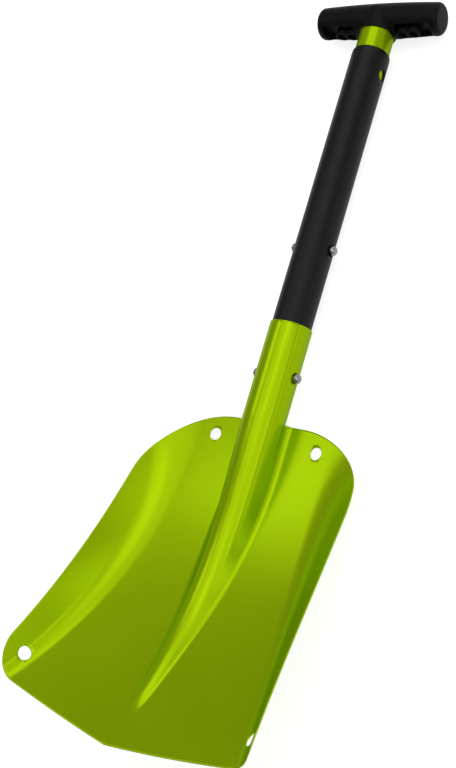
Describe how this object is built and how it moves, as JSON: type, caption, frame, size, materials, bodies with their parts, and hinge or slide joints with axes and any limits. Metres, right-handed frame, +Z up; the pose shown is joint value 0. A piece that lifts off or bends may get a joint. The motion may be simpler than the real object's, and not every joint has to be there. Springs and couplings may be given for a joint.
{
  "type": "camp shovel",
  "caption": "Camp shovel with a curved ridged scoop blade, a plug-in shaft, a telescoping handle held by snap buttons and a T-grip.",
  "frame": {"origin": "middle of the shovel's length and width, on the ground it lies on", "axes": "+Y along the shaft from the blade toward the grip, +Z up out of the open scoop, +X to the right seen from above with the grip away"},
  "size_m": [0.224, 0.6208, 0.097],
  "materials": {
    "blade_paint": "satin lime-green metallic, like dyed anodising, on pressed aluminium sheet",
    "handle_paint": "satin lime-green metallic, like dyed anodising, on aluminium tube",
    "shaft_paint": "satin black anodising on aluminium tube",
    "spring_steel": "bare spring steel strip",
    "button_steel": "plated steel, domed",
    "grip_plastic": "black moulded plastic with a fine texture"
  },
  "bodies": {
    "blade": {"blade": "blade_paint"},
    "shaft": {"lower_tube": "shaft_paint", "lower_spring": "spring_steel"},
    "shaft_button_right": {"lower_button_right": "button_steel"},
    "shaft_button_left": {"lower_button_left": "button_steel"},
    "handle": {"upper_tube": "handle_paint", "upper_spring": "spring_steel", "grip": "grip_plastic", "grip_pin": "button_steel"},
    "handle_button_right": {"upper_button_right": "button_steel"},
    "handle_button_left": {"upper_button_left": "button_steel"}
  },
  "joints": [
    {"name": "shaft_release", "type": "slide", "parent": "blade", "child": "shaft", "axis": [0, 1, 0], "range_m": [0, 0.07], "deforming": ["lower_button_right", "lower_button_left", "lower_spring"]},
    {"name": "telescope", "type": "slide", "parent": "shaft", "child": "handle", "axis": [0, 1, 0], "range_m": [0, 0.155], "deforming": ["upper_button_right", "upper_button_left", "upper_spring"]},
    {"name": "shaft_button_right_press", "type": "slide", "parent": "shaft", "child": "shaft_button_right", "axis": [-1, 0, 0], "range_m": [0, 0.0062], "stiffness_N_per_m": 1200, "springref_m": -0.002},
    {"name": "shaft_button_left_press", "type": "slide", "parent": "shaft", "child": "shaft_button_left", "axis": [1, 0, 0], "range_m": [0, 0.0062], "stiffness_N_per_m": 1200, "springref_m": -0.002},
    {"name": "handle_button_right_press", "type": "slide", "parent": "handle", "child": "handle_button_right", "axis": [-1, 0, 0], "range_m": [0, 0.0066], "stiffness_N_per_m": 1200, "springref_m": -0.002},
    {"name": "handle_button_left_press", "type": "slide", "parent": "handle", "child": "handle_button_left", "axis": [1, 0, 0], "range_m": [0, 0.0066], "stiffness_N_per_m": 1200, "springref_m": -0.002}
  ]
}
